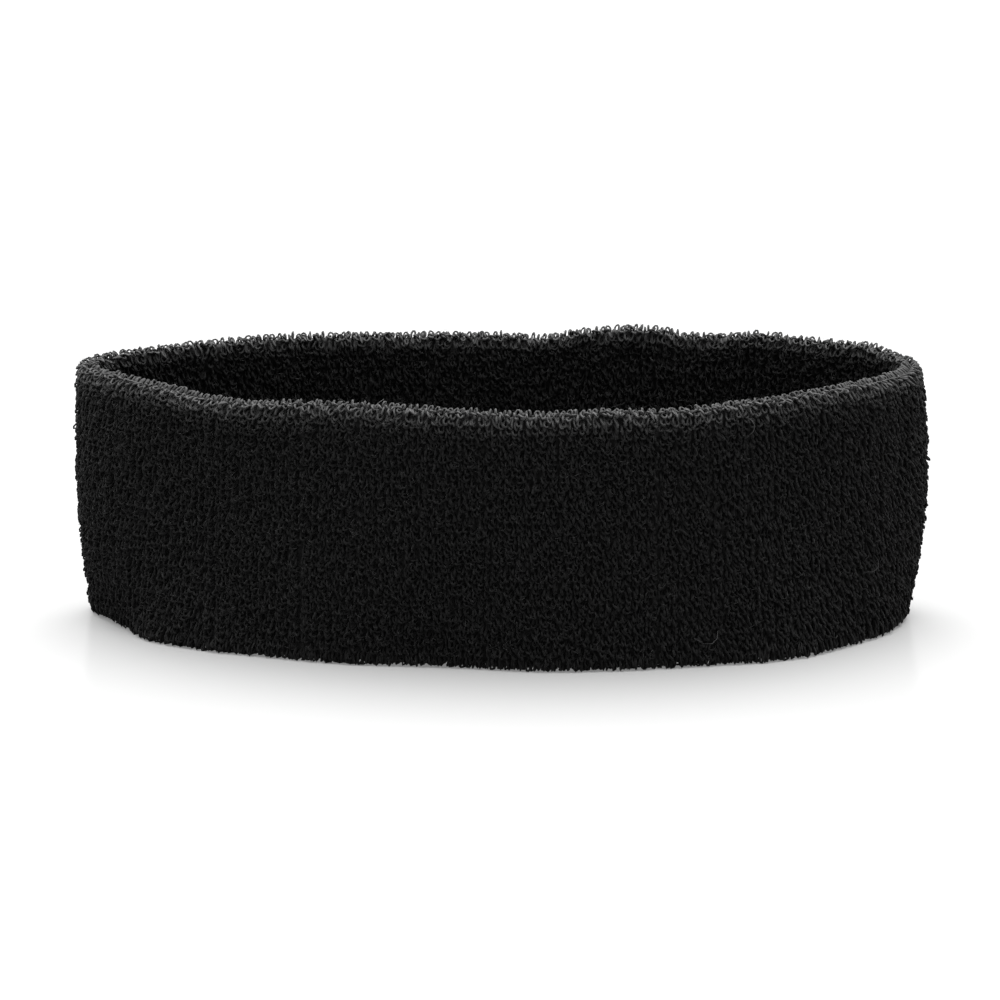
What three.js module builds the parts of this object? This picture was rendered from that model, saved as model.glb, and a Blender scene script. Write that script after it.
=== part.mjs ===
// A double-layer terry headband, standing on its edge and opened by its own stiffness.
//
// The band is a knitted tube, folded double: its two folds are the band's upper and lower edges,
// and its two raw ends meet in a closing seam on the inner face. Every piece is therefore a closed
// ring with the same plan, and each ring is a section swept once round that plan.
// A section is drawn in two directions: out, measured from the middle of the wall with plus away
// from the head, and up, measured from the edge that the band stands on.
// Millimetres, +Z up, +X along the band's width, the fuller side towards -Y.

import * as THREE from 'three';
import { mergeVertices } from 'three/addons/utils/BufferGeometryUtils.js';

// The band.
const BAND_HEIGHT = 51.5;
const WALL_THICKNESS = 4.8;

// The plan of the middle of the wall. Each side bows out from the line through the two ends, and
// its fullest point lies shifted towards +X. A side with no sharpness is half an ellipse, and more
// sharpness draws it straighter into the ends.
const HALF_WIDTH = 81.1;
const FRONT = { bow: 39, shift: 7.5, sharpness: 0.16 };
const BACK = { bow: 23, shift: 6, sharpness: 0 };
const END_ROUNDNESS = 0.1; // 0 would make the ends of a sharp side creases

// The layers, from the outside of the wall inwards.
const PILE_DEPTH = 1.05;
const LAYER_GAP = 0.25;
const GROUND_THICKNESS = 0.45;
const EDGE_RADIUS = 1.6;

// The elastic laid round each ply.
const ELASTIC_DIAMETER = 0.7;
const ELASTIC_OFFSET = 0.1; // from the middle of the wall towards its own ply
const ELASTIC_PITCH = 4.5;
const LOWEST_ELASTIC = 5.5;
const OUTER_COURSES = 10;
const INNER_COURSES = 9;

// The closing seam on the inner face.
const SEAM_HEIGHT = 14.5;
const PILE_SLIT = 2.8;
const GROUND_SLIT = 1;
const NEEDLE_THREAD = 0.4;
const LOOPER_THREAD = 0.4;
const STITCH_LENGTH = 4.6;
const STITCH_REACH = 0.75; // from the seam line to the turn of the looper thread

// How finely the rings are divided.
const RING_STEPS = 48; // a multiple of 4, so that the ends and the fullest points are on steps
const CORNER_STEPS = 2;
const LATHE_RADIUS = 100; // of the plain ring that is then bent to the plan

class BandPlan extends THREE.Curve {
  getPoint(share, target = new THREE.Vector3()) {
    const angle = 2 * Math.PI * share;
    const along = Math.cos(angle);
    const across = Math.sin(angle);
    const side = across > 0 ? BACK : FRONT;
    const fullness = ((across ** 2 + END_ROUNDNESS) / (1 + END_ROUNDNESS)) ** side.sharpness;
    return target.set(
      HALF_WIDTH * along + side.shift * across ** 2,
      (FRONT.bow - BACK.bow) / 2 + side.bow * across * fullness,
      0,
    );
  }
}

const plan = new BandPlan();
plan.arcLengthDivisions = 2000;

function material(color, roughness) {
  return new THREE.MeshStandardMaterial({ color, roughness, metalness: 0 });
}

const terryBlack = material(0x141414, 0.95);
const groundBlack = material(0x1c1c1c, 0.85);
const elasticGrey = material(0x3a3a3c, 0.6);
const threadBlack = material(0x101010, 0.7);

// A point of the plan and the direction that leads out of the wall there.
function station(share) {
  const tangent = plan.getTangent(share);
  return { point: plan.getPoint(share), out: new THREE.Vector3(tangent.y, -tangent.x, 0) };
}

// Sweeps a closed section of (out, up) points once round the plan. Steps are either spread by the
// plan's own angle, which crowds them into the tight ends, or evenly along its length. lift raises
// the section by an amount that depends on the step.
function ring(section, { steps = RING_STEPS, even = false, lift = () => 0 } = {}) {
  const profile = section.map(([out, up]) => new THREE.Vector2(LATHE_RADIUS + out, up));
  profile.push(profile[0].clone());
  const lathe = new THREE.LatheGeometry(profile, steps);
  lathe.deleteAttribute('normal');
  lathe.deleteAttribute('uv');
  const geometry = mergeVertices(lathe);
  const position = geometry.getAttribute('position');
  for (let i = 0; i < position.count; i += 1) {
    const turn = Math.atan2(position.getX(i), position.getZ(i)) / (2 * Math.PI);
    const step = Math.round(turn * steps + steps) % steps;
    const share = even ? plan.getUtoTmapping(step / steps) : step / steps;
    const { point, out } = station(share);
    point.addScaledVector(out, Math.hypot(position.getX(i), position.getZ(i)) - LATHE_RADIUS);
    position.setXYZ(i, point.x, point.y, position.getY(i) + lift(step));
  }
  geometry.computeVertexNormals();
  return geometry;
}

// The outline of a tall rounded rectangle centred on the wall, from the seam on its inner side, up
// over the upper fold, down the outer side, under the lower fold and back to the seam.
function foldedOutline(halfThickness, slit) {
  const inset = WALL_THICKNESS / 2 - halfThickness;
  const radius = Math.max(EDGE_RADIUS - inset / 2, halfThickness / 2);
  const corners = [
    { out: radius - halfThickness, up: BAND_HEIGHT - inset - radius, from: Math.PI },
    { out: halfThickness - radius, up: BAND_HEIGHT - inset - radius, from: Math.PI / 2 },
    { out: halfThickness - radius, up: inset + radius, from: 0 },
    { out: radius - halfThickness, up: inset + radius, from: -Math.PI / 2 },
  ];
  const points = [[-halfThickness, SEAM_HEIGHT + slit / 2]];
  for (const corner of corners) {
    for (let step = 0; step <= CORNER_STEPS; step += 1) {
      const angle = corner.from - (Math.PI / 2) * (step / CORNER_STEPS);
      points.push([corner.out + radius * Math.cos(angle), corner.up + radius * Math.sin(angle)]);
    }
  }
  points.push([-halfThickness, SEAM_HEIGHT - slit / 2]);
  return points;
}

// A layer that wraps both plies and is open along the closing seam.
function foldedLayer(outerHalf, thickness, slit) {
  const outside = foldedOutline(outerHalf, slit);
  const inside = foldedOutline(outerHalf - thickness, slit);
  return ring([...inside, ...outside.reverse()]);
}

// The square section of a yarn, standing on its corner.
function yarnSection(out, up, diameter) {
  const reach = diameter / 2;
  return [[out + reach, up], [out, up + reach], [out - reach, up], [out, up - reach]];
}

function named(name, geometry, finish) {
  const mesh = new THREE.Mesh(geometry, finish);
  mesh.name = name;
  return mesh;
}

const pileFace = WALL_THICKNESS / 2;
const groundFace = pileFace - PILE_DEPTH - LAYER_GAP;

function terryPile() {
  return named('terry_pile', foldedLayer(pileFace, PILE_DEPTH, PILE_SLIT), terryBlack);
}

function groundKnit() {
  const layer = foldedLayer(groundFace, GROUND_THICKNESS, GROUND_SLIT);
  return named('ground_knit', layer, groundBlack);
}

// The elastic courses of one ply, numbered from the lower edge.
function elasticCourses(ply, count, out, lowest) {
  const courses = new THREE.Group();
  for (let course = 0; course < count; course += 1) {
    const section = yarnSection(out, lowest + course * ELASTIC_PITCH, ELASTIC_DIAMETER);
    const number = String(course + 1).padStart(2, '0');
    courses.add(named(`elastic_course_${ply}_${number}`, ring(section), elasticGrey));
  }
  return courses;
}

// The straight thread that lies in the join between the raw ends.
function seamNeedleThread() {
  const middle = groundFace - GROUND_THICKNESS / 2;
  const section = yarnSection(-middle, SEAM_HEIGHT, NEEDLE_THREAD);
  return named('closing_seam_needle_thread', ring(section), threadBlack);
}

// The thread that crosses from one raw end to the other and back with every stitch.
function seamLooperThread() {
  const stitches = Math.round(plan.getLength() / STITCH_LENGTH);
  const face = groundFace + LAYER_GAP + LOOPER_THREAD / 2;
  const section = yarnSection(-face, SEAM_HEIGHT, LOOPER_THREAD);
  const lift = (step) => (step % 2 ? STITCH_REACH : -STITCH_REACH);
  const geometry = ring(section, { steps: 2 * stitches, even: true, lift });
  return named('closing_seam_looper_thread', geometry, threadBlack);
}

const headband = new THREE.Group();
headband.add(terryPile());
headband.add(groundKnit());
headband.add(elasticCourses('outer', OUTER_COURSES, ELASTIC_OFFSET, LOWEST_ELASTIC));
headband.add(
  elasticCourses('inner', INNER_COURSES, -ELASTIC_OFFSET, LOWEST_ELASTIC + ELASTIC_PITCH / 2),
);
headband.add(seamNeedleThread());
headband.add(seamLooperThread());

export default headband;
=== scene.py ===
"""A black terry headband standing open on its edge, with every loop of its pile a real yarn.

The CAD part gives the band's plan, its height and the thickness of its layers. Everything soft is
laid out on the unrolled cloth and then carried onto the band: `along` runs round the band, `over`
runs from the closing seam up the inner face, over the upper fold, down the outer face, under the
lower fold and back to the seam, and `off` leads away from the ground cloth. All are in metres.
Places round the band are also given as shares of the whole way: 0 is at its left end, 0.25 at the
front, 0.5 at its right end and 0.75 at the back.
"""

import math

import bpy
import numpy as np
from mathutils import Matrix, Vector


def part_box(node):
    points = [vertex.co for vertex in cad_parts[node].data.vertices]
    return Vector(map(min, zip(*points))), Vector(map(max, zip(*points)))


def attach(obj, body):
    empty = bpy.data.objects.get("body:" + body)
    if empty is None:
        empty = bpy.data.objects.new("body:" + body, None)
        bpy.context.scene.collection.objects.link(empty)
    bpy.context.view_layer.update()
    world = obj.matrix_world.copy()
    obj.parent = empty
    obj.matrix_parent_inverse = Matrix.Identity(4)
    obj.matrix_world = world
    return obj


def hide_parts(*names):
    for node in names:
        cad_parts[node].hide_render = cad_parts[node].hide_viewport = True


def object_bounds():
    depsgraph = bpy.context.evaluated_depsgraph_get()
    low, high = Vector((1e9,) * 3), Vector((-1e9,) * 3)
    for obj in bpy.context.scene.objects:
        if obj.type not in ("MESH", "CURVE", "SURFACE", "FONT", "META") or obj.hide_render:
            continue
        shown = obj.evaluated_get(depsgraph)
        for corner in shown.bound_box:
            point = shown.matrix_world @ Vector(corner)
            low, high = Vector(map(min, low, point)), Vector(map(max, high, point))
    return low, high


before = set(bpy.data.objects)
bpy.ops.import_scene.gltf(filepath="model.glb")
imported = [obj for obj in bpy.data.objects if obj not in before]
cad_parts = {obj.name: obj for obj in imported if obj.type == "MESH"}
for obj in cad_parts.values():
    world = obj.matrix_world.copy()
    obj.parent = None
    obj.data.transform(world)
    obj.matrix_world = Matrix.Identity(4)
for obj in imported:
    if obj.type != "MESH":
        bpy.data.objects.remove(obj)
cad_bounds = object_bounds()

MM = 0.001
random = np.random.default_rng(7)


# ---------------------------------------------------------------- camera

CAMERA_DISTANCE = 1.085
CAMERA_LENS = 199.2
CAMERA_SENSOR = 36
CAMERA_CLIP = 0.01
CAMERA_ELEVATION = math.radians(15)
CAMERA_AIM = Vector((-0.2, 0, -0.5)) * MM  # from the middle of the band's box


def add_camera():
    """A long lens that looks a little down on the front of the band."""
    low, high = (Vector(corner) for corner in cad_bounds)
    target = (low + high) / 2 + CAMERA_AIM
    camera = bpy.data.objects.new("camera", bpy.data.cameras.new("camera"))
    camera.data.lens = CAMERA_LENS
    camera.data.sensor_width = CAMERA_SENSOR
    away = Vector((0, -math.cos(CAMERA_ELEVATION), math.sin(CAMERA_ELEVATION)))
    camera.location = target + CAMERA_DISTANCE * away
    camera.rotation_euler = (-away).to_track_quat("-Z", "Y").to_euler()
    camera.data.clip_start = CAMERA_CLIP
    bpy.context.scene.collection.objects.link(camera)
    bpy.context.scene.camera = camera


add_camera()


# ---------------------------------------------------------------- the band, read from the frame


def ring_points(node):
    """The plan of a yarn ring's middle, in order round the band, from the points on its top."""
    points = np.array([v.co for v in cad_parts[node].data.vertices])
    top = points[points[:, 2] > points[:, 2].max() - 0.01 * MM, :2]
    top = np.unique(np.round(top, 7), axis=0)
    return top[np.argsort(np.arctan2(top[:, 1], top[:, 0]))]


def smooth_ring(points, count):
    """The closed smooth curve through evenly numbered points, as count points."""
    wave = np.fft.rfft(points, axis=0)
    return np.fft.irfft(wave, count, axis=0) * count / len(points)


def running_length(line):
    """The length along a line of points up to each of them."""
    return np.append(0, np.cumsum(np.linalg.norm(np.diff(line, axis=0), axis=1)))


def look_up(lengths, marks, *tables):
    """Each table's rows, read between its marks at the given lengths."""
    lengths = np.mod(lengths, marks[-1])
    return [
        np.stack([np.interp(lengths, marks, column) for column in table.T], -1)
        for table in tables
    ]


class Plan:
    """The middle of the band's wall seen from above, measured by the length along it."""

    def __init__(self, samples=4096):
        rings = [ring_points(f"elastic_course_{ply}_05") for ply in ("outer", "inner")]
        curve = smooth_ring(sum(rings) / 2, samples)
        slope = np.roll(curve, -1, axis=0) - np.roll(curve, 1, axis=0)
        slope /= np.linalg.norm(slope, axis=1)[:, None]
        outward = np.column_stack([slope[:, 1], -slope[:, 0]])
        self.points = np.vstack([curve, curve[:1]])
        self.outward = np.vstack([outward, outward[:1]])
        self.marks = running_length(self.points)
        self.length = self.marks[-1]

    def at(self, along):
        """The points and outward directions at lengths along the plan."""
        return look_up(along, self.marks, self.points, self.outward)


class Section:
    """The folded ground cloth seen end on: a tall rounded outline, measured from the seam."""

    def __init__(self, fold_steps=33):
        low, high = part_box("ground_knit")
        half = high.x - plan.points[:, 0].max()
        seam = sum(corner.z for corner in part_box("closing_seam_needle_thread")) / 2
        turn = np.linspace(0, math.pi, fold_steps)
        swing = np.column_stack([-np.cos(turn), np.sin(turn)])
        start = [[-half, seam]]
        self.outline = np.vstack([
            start,
            [0, high.z - half] + half * swing,
            [0, low.z + half] - half * swing,
            start,
        ])
        inward = [[-1.0, 0.0]]
        self.normals = np.vstack([inward, swing, -swing, inward])
        self.marks = running_length(self.outline)
        self.length = self.marks[-1]
        self.upper_fold = (self.marks[1], self.marks[fold_steps])
        self.lower_fold = (self.marks[fold_steps + 1], self.marks[2 * fold_steps])

    def at(self, over):
        """(out, up) places and their outward normals at lengths over the section."""
        return look_up(over, self.marks, self.outline, self.normals)


plan = Plan()
section = Section()
band_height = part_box("terry_pile")[1].z

# The knit: the width of a wale, the height of a course and the yarn of the loops.
WALE_WIDTH = 1.27 * MM
COURSE_HEIGHT = 1.14 * MM
YARN_RADIUS = 0.22 * MM


# ---------------------------------------------------------------- how the soft band stands

# Each is (middle, reach, how far): the middle and reach as shares of the way round, the rest in mm.
RIM_RISES = (
    (0.018, 0.04, 0.3),
    (0.08, 0.05, -1.3),
    (0.19, 0.05, -0.3),
    (0.24, 0.05, -0.9),
    (0.31, 0.05, -0.9),
    (0.43, 0.055, 0.9),
    (0.49, 0.05, 0.3),
    (0.525, 0.03, 1.0),
    (0.58, 0.05, 1.3),
    (0.64, 0.03, 0.6),
    (0.66, 0.05, 1.5),
    (0.7, 0.03, -0.5),
    (0.75, 0.04, 0.4),
    (0.8, 0.035, 0.6),
    (0.83, 0.035, 0.7),
    (0.87, 0.05, 0.5),
    (0.94, 0.04, -0.3),
)
RIM_TUCKS = ((0.495, 0.04, -1.9),)
MIDDLE_BULGES = (
    (0.485, 0.05, 0.8),
    (0.985, 0.05, 1.3),
)
FOOT_SHIFTS = (
    (0.03, 0.03, 1.4),
    (0.06, 0.035, 1.3),
    (0.187, 0.065, -2.3),
    (0.37, 0.055, 2.4),
    (0.485, 0.06, -3.9),
    (0.98, 0.05, -4.3),
)
CREASE_DEEPENINGS = (
    (0.035, 0.07, 1.5),
    (0.445, 0.07, 1.7),
)
OUTER_RIDGE_DROPS = (
    (0.045, 0.05, -0.9),
    (0.44, 0.05, -0.9),
)
RIDGE_WIDTH = 1.2 * MM
RIM_LIFT = 0.7 * MM
# Each is (how many go round the band, phase in radians, height in mm).
RIM_WAVES = ((13, 0.8, 0.1), (29, 2.1, 0.06))
FACE_WAVES = ((9, 0.5, 0.2), (17, 1.4, 0.12))
RIM_SHARPNESS = 6  # how closely the tucks and the ridge keep to the rim
FOOT_SHARPNESS = 4  # how closely the shifts keep to the foot
FOOT_FLARE = 0.8 * MM
FOOT_HALF_THICKNESS = 2.9 * MM
FOOT_SPREAD = 1.8
SPREAD_REACH = 1.5 * MM
CREASE_DEPTH = 0.4 * MM
CREASE_REACH = 0.9 * MM
SETTLED = 0.95 * MM
SETTLE_REACH = 3 * MM
RESTING_SQUEEZE = 0.1 * MM


def humps(along, places):
    """A sum of smooth humps round the band, each gone beyond its reach."""
    total = 0
    for middle, reach, height in places:
        gap = np.abs((along / plan.length - middle + 0.5) % 1 - 0.5)
        total = total + height * MM * (0.5 + 0.5 * np.cos(np.pi * np.clip(gap / reach, 0, 1)))
    return total


def waves(along, kinds):
    """A sum of gentle waves round the band."""
    turn = 2 * np.pi * along / plan.length
    return sum(height * MM * np.sin(count * turn + phase) for count, phase, height in kinds)


def stand(along, out, up):
    """The places of points of the band as it stands, soft and uneven and settled on its edge.

    out and up are measured on the section: from the middle of the wall and from the lower edge.
    """
    share = up / band_height
    share_on_wall = np.clip(share, 0, 1)
    near_rim = share_on_wall**RIM_SHARPNESS
    rise = RIM_LIFT + humps(along, RIM_RISES) + waves(along, RIM_WAVES)
    bulge = humps(along, MIDDLE_BULGES) + waves(along, FACE_WAVES)
    tuck = humps(along, RIM_TUCKS)
    ridge_drop = humps(along, OUTER_RIDGE_DROPS)
    foot_shift = FOOT_FLARE + humps(along, FOOT_SHIFTS)
    pressed = FOOT_HALF_THICKNESS * np.tanh(FOOT_SPREAD * out / FOOT_HALF_THICKNESS)
    out = out + (pressed - out) * np.exp(-np.maximum(up, 0) / SPREAD_REACH)
    out = out + bulge * np.sin(np.pi * share_on_wall)
    out = out + tuck * near_rim
    out = out + foot_shift * (1 - share_on_wall) ** FOOT_SHARPNESS
    on_outer_ridge = np.clip(out / RIDGE_WIDTH, 0, 1)
    up = up + share * rise + ridge_drop * on_outer_ridge * near_rim
    up = up - SETTLED * np.exp(-up / SETTLE_REACH)
    up = YARN_RADIUS + RESTING_SQUEEZE * np.logaddexp(0, (up - YARN_RADIUS) / RESTING_SQUEEZE)
    point, outward = plan.at(along)
    ground = point + outward * out[..., None]
    return np.concatenate([ground, up[..., None]], -1)


def past_crease(over):
    """The length over the section from the crease along the top of the upper fold."""
    return over - sum(section.upper_fold) / 2


def on_band(along, over, off):
    """Carries points of the unrolled cloth onto the band as it stands."""
    crease = CREASE_DEPTH + humps(along, CREASE_DEEPENINGS)
    off = off - crease * np.exp(-((past_crease(over) / CREASE_REACH) ** 2))
    (out, up), (normal_out, normal_up) = (np.moveaxis(part, -1, 0) for part in section.at(over))
    return stand(along, out + off * normal_out, up + off * normal_up)


# ---------------------------------------------------------------- meshes from arrays


def add_mesh(name, points, quads, material):
    """A smooth mesh object from an array of points and an array of quads."""
    mesh = bpy.data.meshes.new(name)
    mesh.vertices.add(len(points))
    mesh.vertices.foreach_set("co", points.astype(np.float32).ravel())
    mesh.loops.add(quads.size)
    mesh.loops.foreach_set("vertex_index", quads.astype(np.int32).ravel())
    mesh.polygons.add(len(quads))
    mesh.polygons.foreach_set("loop_start", np.arange(0, quads.size, 4, dtype=np.int32))
    mesh.polygons.foreach_set("use_smooth", np.ones(len(quads), bool))
    mesh.update(calc_edges=True)
    mesh.materials.append(material)
    piece = bpy.data.objects.new(name, mesh)
    bpy.context.scene.collection.objects.link(piece)
    return piece


def ring_quads(rows, columns):
    """The quads of a grid that closes on itself both ways."""
    row = np.arange(rows)[:, None] * columns
    above = np.roll(row, -1, axis=0)
    column = np.arange(columns)
    beside = (column + 1) % columns
    return np.stack([row + column, above + column, above + beside, row + beside], -1).reshape(-1, 4)


SIDES = 4  # of the tubes below, whose ends are one quad each


def tube_quads(count, steps):
    """The quads of count tubes, each of steps square rings of points, with both ends closed."""
    corner = np.arange(SIDES)
    beside = (corner + 1) % SIDES
    step = np.arange(steps - 1)[:, None] * SIDES
    above = step + SIDES
    wall = np.stack([step + corner, step + beside, above + beside, above + corner], -1)
    ends = [corner[::-1], corner + (steps - 1) * SIDES]
    one = np.vstack([wall.reshape(-1, SIDES), ends])
    return (np.arange(count)[:, None, None] * steps * SIDES + one).reshape(-1, SIDES)


def unit(vectors):
    """Each vector at length 1; one of no length stays as it is."""
    return vectors / np.maximum(np.linalg.norm(vectors, axis=-1, keepdims=True), 1e-12)


def tubes(name, lines, radius, facing, painted_light, material):
    """Square-sectioned tubes along lines of points.

    facing is a direction across each line, and each point also gets a share of painted light, from
    0 to 1, which the material reads.
    """
    count, steps, _ = lines.shape
    forward = unit(np.gradient(lines, axis=1))
    sideways = unit(np.cross(forward, facing[:, None, :]))
    upright = np.cross(sideways, forward)
    angle = np.arange(SIDES) * 2 * np.pi / SIDES
    spokes = (
        sideways[:, :, None, :] * np.cos(angle)[:, None]
        + upright[:, :, None, :] * np.sin(angle)[:, None]
    )
    points = lines[:, :, None, :] + spokes * radius
    piece = add_mesh(name, points.reshape(-1, 3), tube_quads(count, steps), material)
    values = np.repeat(np.broadcast_to(painted_light, (count, steps)).ravel(), SIDES)
    # Each point's share of painted light, stored for the material.
    piece.data.attributes.new("painted_light", "FLOAT", "POINT").data.foreach_set("value", values)
    return piece


def belongs(piece, slot, *nodes):
    """Attaches a piece to the band and hides the CAD nodes it stands for; slot is not used."""
    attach(piece, "root")
    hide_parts(*nodes)


# ---------------------------------------------------------------- materials

CLOTH_SPECULAR = 0.08
SHEEN_ROUGHNESS = 0.4


def new_material(name, grey, roughness, sheen):
    """A cloth material whose one shader has its sheen and its gloss set on its sockets."""
    material = bpy.data.materials.new(name)
    material.use_nodes = True
    shader = material.node_tree.nodes["Principled BSDF"]
    shader.inputs["Base Color"].default_value = (grey, grey, grey, 1)
    shader.inputs["Roughness"].default_value = roughness
    shader.inputs["Sheen Weight"].default_value = sheen
    shader.inputs["Sheen Roughness"].default_value = SHEEN_ROUGHNESS
    shader.inputs["Specular IOR Level"].default_value = CLOTH_SPECULAR
    return material, shader


def add_node(material, kind, **inputs):
    """A new node with some of its inputs set."""
    node = material.node_tree.nodes.new(kind)
    for name, value in inputs.items():
        node.inputs[name].default_value = value
    return node


def shade_by(material, shader, amount, low, high):
    """Colours the shader by an amount: low and high are each (amount, grey)."""
    ramp = add_node(material, "ShaderNodeValToRGB")
    for element, (position, grey) in zip(ramp.color_ramp.elements, (low, high)):
        element.position = position
        element.color = (grey, grey, grey, 1)
    material.node_tree.links.new(amount, ramp.inputs["Fac"])
    material.node_tree.links.new(ramp.outputs["Color"], shader.inputs["Base Color"])


def roughen(material, shader, height, strength, distance):
    """Raises the surface by a height pattern."""
    bump = add_node(material, "ShaderNodeBump", Strength=strength, Distance=distance)
    material.node_tree.links.new(height, bump.inputs["Height"])
    material.node_tree.links.new(bump.outputs["Normal"], shader.inputs["Normal"])


def noise_on(material, scale, detail):
    """A noise pattern fixed to the cloth, with scale features to the metre."""
    place = add_node(material, "ShaderNodeTexCoord")
    noise = add_node(material, "ShaderNodeTexNoise", Scale=scale, Detail=detail)
    material.node_tree.links.new(place.outputs["Object"], noise.inputs["Vector"])
    return noise.outputs["Fac"]


def cotton_yarn():
    """Black cotton yarn: matt, uneven in its dye, and painted paler on its crowns as painted
    highlight, most along the rim where the top light falls, with painted shade at its roots.
    """
    material, shader = new_material("cotton_yarn", 0.01, 0.9, 0.03)
    # The share of painted light stored on each point of the yarn, broken up below by the uneven
    # dye.
    painted_light = add_node(material, "ShaderNodeAttribute")
    painted_light.attribute_name = "painted_light"
    painted_light_and_dye = add_node(material, "ShaderNodeMath")
    painted_light_and_dye.operation = "MULTIPLY"
    material.node_tree.links.new(painted_light.outputs["Fac"], painted_light_and_dye.inputs[0])
    material.node_tree.links.new(noise_on(material, 900, 3), painted_light_and_dye.inputs[1])
    # The ramp turns it into the yarn's grey: dark roots as painted shade, pale crowns as painted
    # highlight.
    shade_by(material, shader, painted_light_and_dye.outputs["Value"], (0.06, 0.0062), (0.65, 0.054))
    roughen(material, shader, noise_on(material, 6000, 4), 0.25, 0.05 * MM)
    return material


def ground_cotton():
    """The knitted ground under the loops: near black, pitted by the holes between its stitches; the
    holes are darkened as painted shade and the stitches painted paler than the yarn to light the
    pits among the loops.
    """
    material, shader = new_material("ground_cotton", 0.006, 0.95, 0.1)
    place = add_node(material, "ShaderNodeTexCoord")
    stitches = add_node(material, "ShaderNodeTexVoronoi", Scale=1 / WALE_WIDTH, Randomness=0.35)
    material.node_tree.links.new(place.outputs["Object"], stitches.inputs["Vector"])
    # Painted light and shade: pale stitch middles light the pits among the loops, and dark edges
    # shade the holes between the stitches.
    shade_by(material, shader, stitches.outputs["Distance"], (0.1, 0.02), (0.6, 0.007))
    roughen(material, shader, stitches.outputs["Distance"], 0.8, -0.2 * MM)
    return material


def covered_elastic():
    """Elastic with a textured yarn wound round it: dark grey, with a slight shine."""
    material, shader = new_material("covered_elastic", 0.03, 0.5, 0.02)
    shade_by(material, shader, noise_on(material, 4000, 2), (0.35, 0.02), (0.65, 0.05))
    return material


def sewing_thread():
    """Black spun sewing thread, smoother than the pile."""
    material, shader = new_material("sewing_thread", 0.01, 0.6, 0.05)
    plies = noise_on(material, 3000, 2)
    shade_by(material, shader, plies, (0.35, 0.007), (0.65, 0.018))
    roughen(material, shader, plies, 0.6, 0.04 * MM)
    return material


yarn_material = cotton_yarn()
ground_material = ground_cotton()
elastic_material = covered_elastic()
thread_material = sewing_thread()

# ---------------------------------------------------------------- the ground cloth

GROUND_THICKNESS = 0.45 * MM
RAW_EDGE = 0.5 * MM  # from the seam line to each raw end
GROUND_ROWS = 96
GROUND_COLUMNS = 366


def ground_cloth():
    """The knitted cloth that carries the loops, with its thickness and its two raw edges."""
    over = np.linspace(RAW_EDGE, section.length - RAW_EDGE, GROUND_ROWS)
    along = np.arange(GROUND_COLUMNS) * plan.length / GROUND_COLUMNS
    skins = []
    for off, order in ((0, over), (-GROUND_THICKNESS, over[::-1])):
        grid_along, grid_over = np.meshgrid(along, order)
        skins.append(on_band(grid_along, grid_over, off))
    points = np.concatenate(skins).reshape(-1, 3)
    quads = ring_quads(len(skins) * GROUND_ROWS, GROUND_COLUMNS)
    piece = add_mesh("ground_cloth", points, quads, ground_material)
    belongs(piece, "ground_knit", "ground_knit")
    return piece


# ---------------------------------------------------------------- the yarns laid round the band

RING_STEPS = 240
RING_SIDES = 8
STITCH_LENGTH = 4.6 * MM
STEPS_TO_A_STITCH = 12
CROSSING_SHARPNESS = 2  # how fast the looper thread crosses from one raw end to the other


def ring_place(node):
    """How far out of the middle of the wall and how high a CAD ring's yarn lies, and its radius."""
    low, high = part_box(node)
    radius = (high.z - low.z) / 2
    return high.x - plan.points[:, 0].max() - radius, (low.z + high.z) / 2, radius


def yarn_ring(node, out, up, radius, slot, material):
    """A closed round yarn laid round the band in place of a CAD ring."""
    along = np.arange(len(up))[:, None] * plan.length / len(up)
    angle = np.arange(RING_SIDES) * 2 * np.pi / RING_SIDES
    points = stand(along, out + radius * np.cos(angle), up[:, None] + radius * np.sin(angle))
    quads = ring_quads(len(up), RING_SIDES)
    piece = add_mesh(f"{node}_yarn", points.reshape(-1, 3), quads, material)
    belongs(piece, slot, node)
    return piece


def elastic_courses():
    """The elastic between the plies."""
    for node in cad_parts:
        if node.startswith("elastic_course"):
            out, up, radius = ring_place(node)
            course = np.full(RING_STEPS, up)
            yarn_ring(node, out, course, radius, "elastic_yarn", elastic_material)


def closing_seam():
    """The needle thread along the seam, and the looper thread that crosses it at every stitch."""
    needle, looper = "closing_seam_needle_thread", "closing_seam_looper_thread"
    out, up, radius = ring_place(needle)
    line = np.full(RING_STEPS, up)
    straight = yarn_ring(needle, out, line, radius, "seam_thread", thread_material)
    # The looper's box is as tall as its swing, so its reach is taken off with its own radius.
    looper_out, _, half_height = ring_place(looper)
    reach = half_height - radius
    stitches_round = round(plan.length / STITCH_LENGTH)
    phase = np.arange(stitches_round * STEPS_TO_A_STITCH) * 2 * np.pi / STEPS_TO_A_STITCH
    swing = up + reach * np.tanh(CROSSING_SHARPNESS * np.sin(phase))
    crossing = yarn_ring(looper, looper_out + reach, swing, radius, "seam_thread", thread_material)
    return [straight, crossing]


# ---------------------------------------------------------------- the terry loops

LOOP_STEPS = 8
LOOP_SWEEP = math.radians(155)  # from the crown of a loop to each of its ends
LOOP_CURL = 0.15 * MM
# Each is the usual value and its spread.
LOOP_WIDTH = (0.9 * MM, 0.1 * MM)
LOOP_HEIGHT = (1.7 * MM, 0.12 * MM)
LOOP_TURN = (0.7, 0.45)  # radians from the way round the band
LOOP_FALL = (0.85, 0.15)  # radians from upright
LOOP_BEARING = (np.pi / 2 + 0.2, 0.35)  # radians from the way round to where it falls
PAIR_OFFSET = (0.14 * MM, 0.08 * MM)
WALE_WANDER = 0.12 * MM
STITCH_JITTER = 0.06 * MM
ROOT_DEPTH = 0.1 * MM
PARTING = 0.8 * MM  # from the crease to where the loops fall fully to their own side
SEAM_MARGIN = 1.2 * MM
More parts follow.
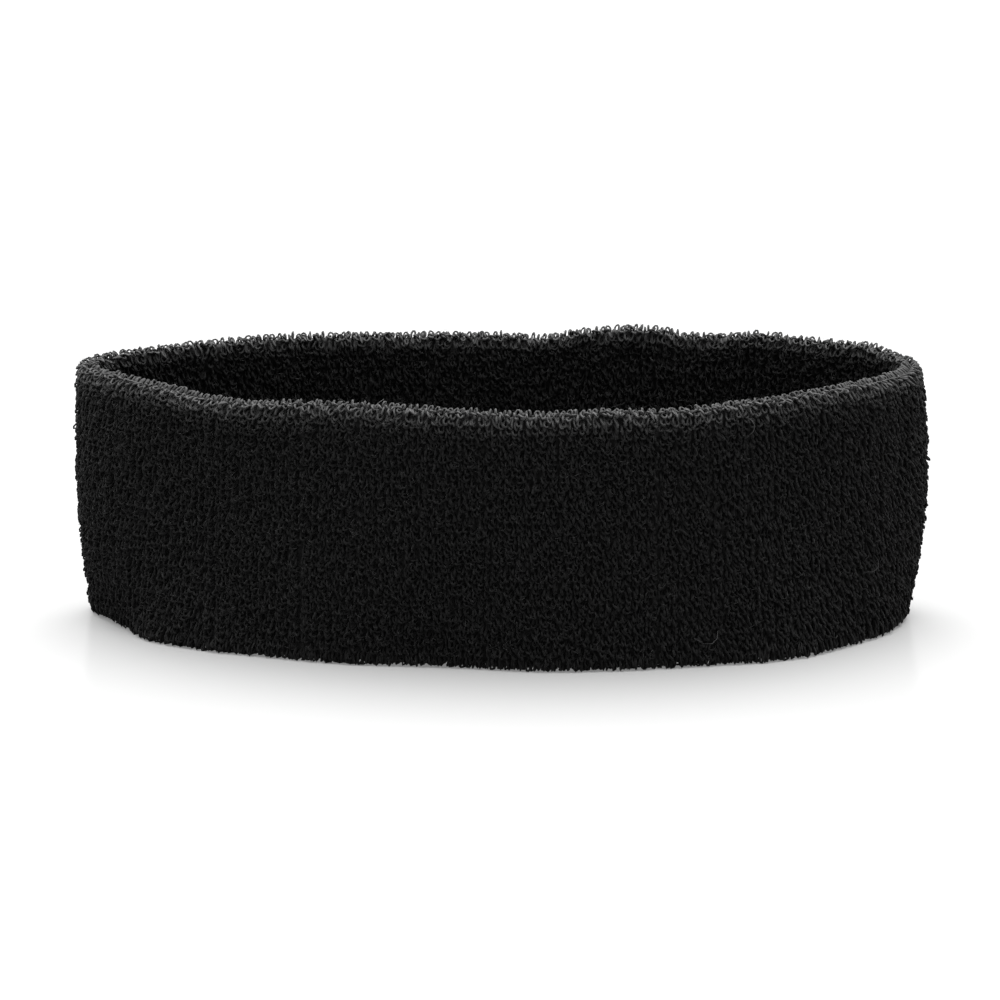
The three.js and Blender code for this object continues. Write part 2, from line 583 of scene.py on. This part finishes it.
# What is added to a loop's height, turn and fall where it is free, on top of the upper fold.
FREE_HEIGHT = -0.3 * MM
FREE_TURN = (-0.45, 0.25)
FREE_FALL = -0.15
FREE_REACH = 3.5 * MM
# How much painted light the loops take all over each face, less inside the band as painted shade,
# and how far from the crease the painted top light along the rim reaches.
PAINTED_LIGHT_OUTSIDE = 0.16
PAINTED_LIGHT_INSIDE = 0.15
RIM_LIGHT_REACH_OUTSIDE = 2.7 * MM
RIM_LIGHT_REACH_INSIDE = 1.6 * MM
SECTORS = 8


def stitches():
    """Where the loops are rooted: a pair to each wale in each course, a little out of line."""
    wales = round(plan.length / WALE_WIDTH)
    courses = round((section.length - 2 * SEAM_MARGIN) / COURSE_HEIGHT)
    along, over = np.meshgrid(
        np.arange(wales) * plan.length / wales,
        np.linspace(SEAM_MARGIN, section.length - SEAM_MARGIN, courses),
    )
    side = np.array([-1, 1])[:, None, None] * random.normal(*PAIR_OFFSET, along.shape)
    wander = random.normal(0, WALE_WANDER, wales)
    along = along + wander + side + random.normal(0, STITCH_JITTER, side.shape)
    over = over + side + random.normal(0, STITCH_JITTER, side.shape)
    return along.ravel(), over.ravel()


def freedom(over):
    """How freely the loops stand: 1 on top of the upper fold, 0 down both faces."""
    return np.exp(-((past_crease(over) / FREE_REACH) ** 2))


def painted_light_share(over, crown):
    """How much painted light the yarn takes: the most on the crowns along the rim, where the top
    light falls; the least at the roots and inside the band, as painted shade.
    """
    outside = past_crease(over) > 0
    everywhere = np.where(outside, PAINTED_LIGHT_OUTSIDE, PAINTED_LIGHT_INSIDE)[:, None]
    reach = np.where(outside, RIM_LIGHT_REACH_OUTSIDE, RIM_LIGHT_REACH_INSIDE)
    rim = np.exp(-((past_crease(over) / reach) ** 2))[:, None]
    return everywhere + (1 - everywhere) * rim * crown


def loop_lines(along, over):
    """Each loop's yarn as a line of points, and how much painted light each point takes.

    The loops lean down both faces, parted at the crease. Beside it they are shorter, stand more
    upright and turn more freely.
    """
    count = len(along)
    free = freedom(over)
    width = random.normal(*LOOP_WIDTH, count)[:, None]
    height = (random.normal(*LOOP_HEIGHT, count) + FREE_HEIGHT * free)[:, None]
    usual_turn = LOOP_TURN[0] + FREE_TURN[0] * free
    turn_spread = LOOP_TURN[1] + FREE_TURN[1] * free
    turn = random.normal(usual_turn, turn_spread)[:, None]
    fall = (random.normal(*LOOP_FALL, count) + FREE_FALL * free)[:, None]
    fall = fall * np.tanh(past_crease(over) / PARTING)[:, None]
    towards = random.normal(*LOOP_BEARING, count)[:, None]
    sweep = np.linspace(-LOOP_SWEEP, LOOP_SWEEP, LOOP_STEPS)
    across = width / 2 * np.sin(sweep)
    crown = (np.cos(sweep) - np.cos(sweep[0])) / (1 - np.cos(sweep[0]))
    rise = height * crown
    curl = LOOP_CURL * np.sin(sweep)
    lean = rise * np.sin(fall)
    shift_along = across * np.cos(turn) - curl * np.sin(turn) + lean * np.cos(towards)
    shift_over = across * np.sin(turn) + curl * np.cos(turn) + lean * np.sin(towards)
    off = rise * np.cos(fall) - ROOT_DEPTH
    # Pale crowns and dark roots here are painted highlight and painted shade.
    painted_light = painted_light_share(over, crown)
    return on_band(along[:, None] + shift_along, over[:, None] + shift_over, off), painted_light


def region_of(over):
    """The name of the part of the band that each stitch is on."""
    names = np.full(len(over), "inner", dtype="U12")
    names[over > section.upper_fold[0]] = "upper_fold"
    names[over > section.upper_fold[1]] = "outer"
    names[over > section.lower_fold[0]] = "lower_fold"
    names[over > section.lower_fold[1]] = "inner_lower"
    return names


def terry_loops():
    """The whole pile, in one piece to each sector of each face and fold."""
    along, over = stitches()
    lines, painted_light = loop_lines(along, over)
    facing = unit(np.cross(lines[:, LOOP_STEPS // 2] - lines[:, 0], lines[:, -1] - lines[:, 0]))
    names = region_of(over)
    sector = (along % plan.length / plan.length * SECTORS).astype(int)
    pieces = []
    for name in np.unique(names):
        for number in range(SECTORS):
            here = (names == name) & (sector == number)
            title = f"terry_loops_{name}_{number + 1}"
            piece = tubes(
                title, lines[here], YARN_RADIUS, facing[here], painted_light[here], yarn_material
            )
            belongs(piece, "terry_pile", "terry_pile")
            pieces.append(piece)
    return pieces


# ---------------------------------------------------------------- the loose fibres

FUZZ_COUNT = 5500
FUZZ_RADIUS = 0.02 * MM
STRAY_RADIUS = 0.045 * MM
FIBRE_STEPS = 5
FIBRE_ROOT = 0.9 * MM  # off the ground cloth, among the loops
FIBRE_RISE = 0.45  # of its length
FIBRE_BEND = 0.8 * np.pi  # half a turn would bring its tip back down to its root's height
STRAY_CURL = 1.3
# Long strays: (share of the way round, share of the height, length in mm, heading in radians)
STRAYS = (
    (0.425, 0.31, 4.5, 1.2),
    (0.33, 0.1, 5.0, 1.7),
    (0.16, 0.97, 4.0, 3.0),
    (0.345, 0.98, 3.5, 0.3),
    (0.62, 0.93, 3.0, 2.4),
    (0.9, 0.8, 4.0, 0.9),
)


def fibre_lines(along, over, length, heading, curl):
    """Fibres that leave the pile and bend over along the cloth as they go."""
    step = np.linspace(0, 1, FIBRE_STEPS)
    bearing = heading[:, None] + curl[:, None] * step
    reach = length[:, None] * step
    off = FIBRE_ROOT + FIBRE_RISE * length[:, None] * np.sin(FIBRE_BEND * step)
    return on_band(
        along[:, None] + reach * np.cos(bearing), over[:, None] + reach * np.sin(bearing), off
    )


def add_fibres(name, along, over, length, heading, curl, radius):
    """One piece of loose fibres."""
    lines = fibre_lines(along, over, length, heading, curl)
    facing = unit(np.cross(lines[:, -1] - lines[:, 0], lines[:, FIBRE_STEPS // 2] - lines[:, 0]))
    # The loose fibres take the full painted light, as pale as the crowns along the rim.
    piece = tubes(name, lines, radius, facing, np.ones(FIBRE_STEPS), yarn_material)
    belongs(piece, "terry_pile", "terry_pile")
    return piece


def loose_fibres():
    """The fine fuzz that stands out of the pile all over, and a few long strays."""
    along = random.uniform(0, plan.length, FUZZ_COUNT)
    over = random.uniform(SEAM_MARGIN, section.length - SEAM_MARGIN, FUZZ_COUNT)
    length = random.uniform(0.6, 1.6, FUZZ_COUNT) * MM
    heading = random.uniform(0, 2 * np.pi, FUZZ_COUNT)
    curl = random.normal(0, 1, FUZZ_COUNT)
    fuzz = add_fibres("cotton_fuzz", along, over, length, heading, curl, FUZZ_RADIUS)
    share, height, length, heading = np.array(STRAYS).T
    top, bottom = section.upper_fold[1], section.lower_fold[0]
    over = bottom + (top - bottom) * height
    along = share * plan.length
    curl = np.full(len(share), STRAY_CURL)
    strays = add_fibres("stray_fibres", along, over, length * MM, heading, curl, STRAY_RADIUS)
    return [fuzz, strays]


cloth = ground_cloth()
elastic_courses()
seam = closing_seam()
loops = terry_loops()
fibres = loose_fibres()

# ---------------------------------------------------------------- the studio

FLOOR_HALF_WIDTH = 3.0
LIGHT_PLACE = (0, 0.45, 2.2)
LIGHT_SIZE = (2.6, 2.6)
LIGHT_POWER = 380


def add_floor():
    """A wide pale shooting table, lit a little from below, that mirrors the band faintly."""
    square = np.array([[-1, -1, 0], [1, -1, 0], [1, 1, 0], [-1, 1, 0]])
    corners = square * FLOOR_HALF_WIDTH
    material = bpy.data.materials.new("pale_floor")
    material.use_nodes = True
    shader = material.node_tree.nodes["Principled BSDF"]
    shader.inputs["Base Color"].default_value = (0.2, 0.2, 0.2, 1)
    shader.inputs["Roughness"].default_value = 0.2
    shader.inputs["Emission Color"].default_value = (1, 1, 1, 1)
    shader.inputs["Emission Strength"].default_value = 0.2
    floor = add_mesh("floor", corners, np.array([[0, 1, 2, 3]]), material)


def add_area_light(name, place, size, power):
    """A soft rectangular light that points at the middle of the band."""
    light = bpy.data.lights.new(name, "AREA")
    light.shape = "RECTANGLE"
    light.size, light.size_y = size
    light.energy = power
    lamp = bpy.data.objects.new(name, light)
    lamp.location = place
    aim = Vector((0, 0, band_height / 2)) - Vector(place)
    lamp.rotation_euler = aim.to_track_quat("-Z", "Y").to_euler()
    bpy.context.scene.collection.objects.link(lamp)


def add_world():
    """A dim room with a white wall round it, up to a little above the horizon."""
    world = bpy.data.worlds.new("studio")
    world.use_nodes = True
    nodes, links = world.node_tree.nodes, world.node_tree.links
    place = nodes.new("ShaderNodeTexCoord")
    parts = nodes.new("ShaderNodeSeparateXYZ")
    wall = nodes.new("ShaderNodeValToRGB")
    wall.color_ramp.elements[0].position = 0.12
    wall.color_ramp.elements[0].color = (1.05, 1.05, 1.05, 1)
    wall.color_ramp.elements[1].position = 0.3
    wall.color_ramp.elements[1].color = (0.3, 0.3, 0.3, 1)
    links.new(place.outputs["Generated"], parts.inputs["Vector"])
    links.new(parts.outputs["Z"], wall.inputs["Fac"])
    links.new(wall.outputs["Color"], nodes["Background"].inputs["Color"])
    bpy.context.scene.world = world


add_floor()
add_area_light("overhead", LIGHT_PLACE, LIGHT_SIZE, LIGHT_POWER)
add_world()
bpy.context.scene.view_settings.view_transform = "Standard"
